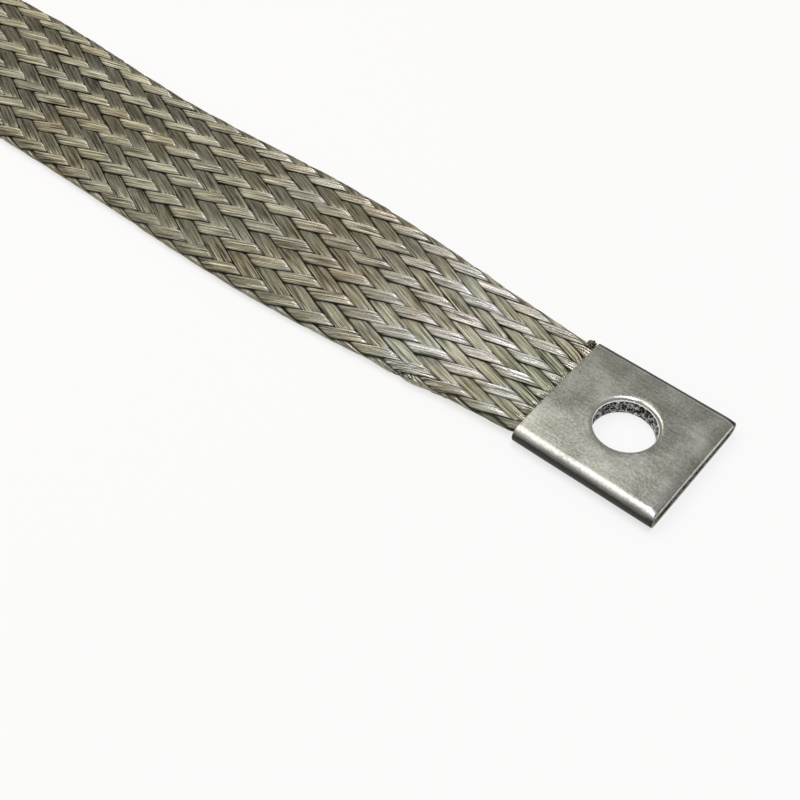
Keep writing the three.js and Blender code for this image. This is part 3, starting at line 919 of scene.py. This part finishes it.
def tinned_sheet():
    """Pressed tinned sheet: satin, mottled and scratched, with worn folds darkened by painted shade and a
    burnished rim with a painted sheen.
    """
    material, tree = blank_material("tinned_copper_sheet_pressed")
    place = add(tree, "ShaderNodeTexCoord")
    wear = add(tree, "ShaderNodeAttribute", attribute_name="wear")
    drawn = add(tree, "ShaderNodeMapping", {"Vector": (place, "Object"), "Scale": STREAKS})
    streaks = add(tree, "ShaderNodeTexNoise", {
        "Vector": (drawn, "Vector"), "Scale": 1.0, "Detail": 4.0, "Roughness": 0.6})
    clouds = add(tree, "ShaderNodeTexNoise", {
        "Vector": (place, "Object"), "Scale": CLOUDS, "Detail": 3.0, "Roughness": 0.6})
    grain = add(tree, "ShaderNodeTexNoise", {
        "Vector": (place, "Object"), "Scale": GRAIN, "Detail": 3.0, "Roughness": 0.7})
    rubbed = add(tree, "ShaderNodeMapping", {
        "Vector": (place, "Object"), "Rotation": (0.0, 0.0, 0.2), "Scale": SCRATCHES})
    scratches = add(tree, "ShaderNodeTexNoise", {
        "Vector": (rubbed, "Vector"), "Scale": 1.0, "Detail": 1.0, "Roughness": 0.5})
    scratched = add(tree, "ShaderNodeMapRange", {
        "Value": (scratches, "Fac"), "From Min": 0.66, "From Max": 0.8, "To Min": 0.0, "To Max": 0.3})
    sum_of_all = weighted(tree, [
        ((streaks, "Fac"), 0.18), ((clouds, "Fac"), 0.32), ((grain, "Fac"), 0.5),
        ((scratched, "Result"), 0.3)])
    tone = add(tree, "ShaderNodeValToRGB", {"Fac": (sum_of_all, "Value")},
               [(0.4, "ACABA0"), (0.5, "CBCABF"), (0.6, "E0DFD6")])
    ragged = weighted(tree, [((wear, "Fac"), 1.0), ((grain, "Fac"), 0.4), ((streaks, "Fac"), 0.4)])
    # Painted shade on the folds, with a ragged edge.
    shaded_fold = add(tree, "ShaderNodeMapRange", {
        "Value": (ragged, "Value"), "From Min": 0.72, "From Max": 1.12, "To Min": 0.0, "To Max": 0.95})
    # Painted sheen on the burnished rim round the hole, which is also smoother.
    burnished_sheen = add(tree, "ShaderNodeMapRange", {
        "Value": (wear, "Fac"), "From Min": -0.6, "From Max": 0.0, "To Min": 1.0, "To Max": 0.0})
    brighter = add(tree, "ShaderNodeMix", {
        0: (burnished_sheen, "Result"), 6: (tone, "Color"), 7: linear("F2F1EC")}, data_type="RGBA")
    darker = add(tree, "ShaderNodeMix", {
        0: (shaded_fold, "Result"), 6: (brighter, 2), 7: linear("2E2D2A")}, data_type="RGBA")
    cloudy = add(tree, "ShaderNodeMapRange", {
        "Value": (clouds, "Fac"), "From Min": 0.35, "From Max": 0.65, "To Min": 0.2, "To Max": 0.29})
    matte = add(tree, "ShaderNodeMapRange", {
        "Value": (wear, "Fac"), "From Min": 0.0, "From Max": 0.25, "To Min": 0.0, "To Max": 0.26})
    rough = weighted(tree, [
        ((cloudy, "Result"), 1.0), ((matte, "Result"), 1.0), ((burnished_sheen, "Result"), -0.06)])
    relief = weighted(tree, [((streaks, "Fac"), 0.7), ((grain, "Fac"), 1.0), ((scratched, "Result"), 0.8)])
    bump = add(tree, "ShaderNodeBump", {
        "Height": (relief, "Value"), "Strength": 0.38, "Distance": 0.00003})
    shader = add(tree, "ShaderNodeBsdfPrincipled", {
        "Base Color": (darker, 2), "Metallic": 1.0, "Roughness": (rough, "Value"),
        "Normal": (bump, "Normal")})
    add(tree, "ShaderNodeOutputMaterial", {"Surface": (shader, "BSDF")})
    return material


# %% [markdown]
# ### Sheared edge
# The cut faces of the sheet at its two ends were never tinned: dull, dark and torn across by the
# shear, so a noise that is stretched down the edge makes its upright marks.

# %% Sheared edge material
TEARS = (0.9 * PER_MM, 4.2 * PER_MM, 0.9 * PER_MM)  # a millimetre high and a quarter of one wide


def sheared_edge():
    """The sheet's cut faces: dull copper and tin with upright torn marks."""
    material, tree = blank_material("sheared_copper_edge_dull")
    place = add(tree, "ShaderNodeTexCoord")
    torn = add(tree, "ShaderNodeMapping", {"Vector": (place, "Object"), "Scale": TEARS})
    marks = add(tree, "ShaderNodeTexNoise", {
        "Vector": (torn, "Vector"), "Scale": 1.0, "Detail": 3.0, "Roughness": 0.6})
    tone = add(tree, "ShaderNodeValToRGB", {"Fac": (marks, "Fac")},
               [(0.35, "5C5B55"), (0.55, "7F7E76"), (0.7, "A9A8A0")])
    bump = add(tree, "ShaderNodeBump", {
        "Height": (marks, "Fac"), "Strength": 0.6, "Distance": 0.00008})
    shader = add(tree, "ShaderNodeBsdfPrincipled", {
        "Base Color": (tone, "Color"), "Metallic": 0.8, "Roughness": 0.5, "Normal": (bump, "Normal")})
    add(tree, "ShaderNodeOutputMaterial", {"Surface": (shader, "BSDF")})
    return material


# %% Give every piece its materials
wire_ends = cut_wire_ends()
for pieces, materials in ((bundle_pieces, [tinned_wire()]), (strand_pieces, [wire_ends]),
                          (palm_pieces, [tinned_sheet(), sheared_edge(), wire_ends])):
    for piece in pieces:
        for material in materials:
            piece.data.materials.append(material)
print("materials:", [material.name for material in bpy.data.materials])

# %% [markdown]
# ## Floor, light and camera
# The strap lies on a plain white floor under soft light from above, as on a photographer's table. Two
# lamps light it. The narrow one overhead is what the wires of one slant mirror, near the palm. The
# wide one on the left is what the other slant and the palm's flat mirror. The camera was fitted to
# the palm's corners and hole, so it is given as the point that it looks at, its direction, distance
# and roll.

# %% Floor
FLOOR_GLOW = 0.7  # share of plain white in the floor as seen; the rest is lit and holds the shadow
FLOOR_REACH = 3.0  # metres
FLOOR_DROP = 0.00005  # metres below the strap, so that no faces lie together


def floor():
    """A square white table under the strap."""
    mesh = bpy.data.meshes.new("floor")
    corners = [(x * FLOOR_REACH, y * FLOOR_REACH, 0) for x, y in ((-1, -1), (1, -1), (1, 1), (-1, 1))]
    mesh.from_pydata(corners, [], [(0, 1, 2, 3)])
    plane = bpy.data.objects.new("floor", mesh)
    plane.location.z = -FLOOR_DROP
    bpy.context.collection.objects.link(plane)
    material, tree = blank_material("white_table")
    lit = add(tree, "ShaderNodeBsdfDiffuse", {"Color": linear("FBF9EE")})
    white = add(tree, "ShaderNodeEmission", {"Color": linear("FFFFFF"), "Strength": 1.0})
    path = add(tree, "ShaderNodeLightPath")
    mirrored = add(tree, "ShaderNodeMath", {
        0: (path, "Is Camera Ray"), 1: (path, "Is Glossy Ray")}, operation="MAXIMUM")
    seen = add(tree, "ShaderNodeMath", {
        0: (mirrored, "Value"), 1: (path, "Is Transmission Ray")}, operation="MAXIMUM")
    share = add(tree, "ShaderNodeMath", {0: (seen, "Value"), 1: FLOOR_GLOW}, operation="MULTIPLY")
    mixed = add(tree, "ShaderNodeMixShader", {
        0: (share, "Value"), 1: (lit, "BSDF"), 2: (white, "Emission")})
    add(tree, "ShaderNodeOutputMaterial", {"Surface": (mixed, "Shader")})
    mesh.materials.append(material)


floor()

# %% Light
def soft_box(name, place, width, height, power, colour, turn):
    """A rectangular lamp that faces straight down, turned about the vertical by an angle in degrees."""
    lamp = bpy.data.lights.new(name, "AREA")
    lamp.shape = "RECTANGLE"
    lamp.size, lamp.size_y, lamp.energy = width, height, power
    lamp.color = linear(colour)[:3]
    box = bpy.data.objects.new(name, lamp)
    box.location = place
    box.rotation_euler.z = math.radians(turn)
    bpy.context.collection.objects.link(box)


def studio_walls():
    """Even soft light all round, dimmer towards the horizon, as in a room with a bright ceiling."""
    world = bpy.data.worlds.new("studio")
    bpy.context.scene.world = world
    world.use_nodes = True
    tree = world.node_tree
    tree.nodes.clear()
    direction = add(tree, "ShaderNodeTexCoord")
    split = add(tree, "ShaderNodeSeparateXYZ", {0: (direction, "Generated")})
    height = add(tree, "ShaderNodeValToRGB", {"Fac": (split, "Z")},
                 [(0.0, "80807C"), (0.4, "8C8C88"), (0.9, "9D9D99")])
    walls = add(tree, "ShaderNodeBackground", {"Color": (height, "Color"), "Strength": 1.0})
    white = add(tree, "ShaderNodeBackground", {"Color": linear("FFFFFF"), "Strength": 1.0})
    path = add(tree, "ShaderNodeLightPath")
    seen = add(tree, "ShaderNodeMixShader", {
        0: (path, "Is Camera Ray"), 1: (walls, "Background"), 2: (white, "Background")})
    add(tree, "ShaderNodeOutputWorld", {"Surface": (seen, "Shader")})


studio_walls()
soft_box("overhead", (0.17, -0.03, 0.9), 0.12, 0.65, 4.5, "E4E4FF", turn=17.4)
soft_box("left", (-0.29, -0.05, 0.7), 0.52, 0.9, 2.22, "FFFDF4", turn=0.0)

# %% Camera
FOCAL_PX = 1251.14  # in the photograph's 800 px frame
PHOTO_PX = 800
AZIMUTH, ELEVATION, ROLL = 38.638, 50.334, 1.356  # degrees
FITTED_WIDTH = 25.0  # mm that the fit took the palm as
FIT_SCALE = PALM_WIDTH / FITTED_WIDTH
LOOK_AT = np.array([-18.808, -16.650, 0.0]) * FIT_SCALE + [MOUTH_X, PALM_Y, 0]
DISTANCE = 200.366 * FIT_SCALE


def add_camera():
    """The photograph's camera: back is the way from the strap to it, and the roll turns it round that."""
    azimuth, elevation, roll = (math.radians(angle) for angle in (AZIMUTH, ELEVATION, ROLL))
    back = Vector((math.sin(azimuth) * math.cos(elevation), -math.cos(azimuth) * math.cos(elevation),
                   math.sin(elevation)))
    right = (-back).cross(Vector((0, 0, 1))).normalized()
    up = right.cross(-back)
    rolled_right = math.cos(roll) * right + math.sin(roll) * up
    rolled_up = -math.sin(roll) * right + math.cos(roll) * up
    data = bpy.data.cameras.new("camera")
    data.sensor_width = 36.0
    data.lens = data.sensor_width * FOCAL_PX / PHOTO_PX
    data.clip_start = 0.01
    camera = bpy.data.objects.new("camera", data)
    turn = Matrix((rolled_right, rolled_up, back)).transposed().to_4x4()
    camera.matrix_world = Matrix.Translation((Vector(LOOK_AT) + back * DISTANCE) * MM) @ turn
    bpy.context.collection.objects.link(camera)
    bpy.context.scene.camera = camera


add_camera()
bpy.context.scene.view_settings.view_transform = "Standard"
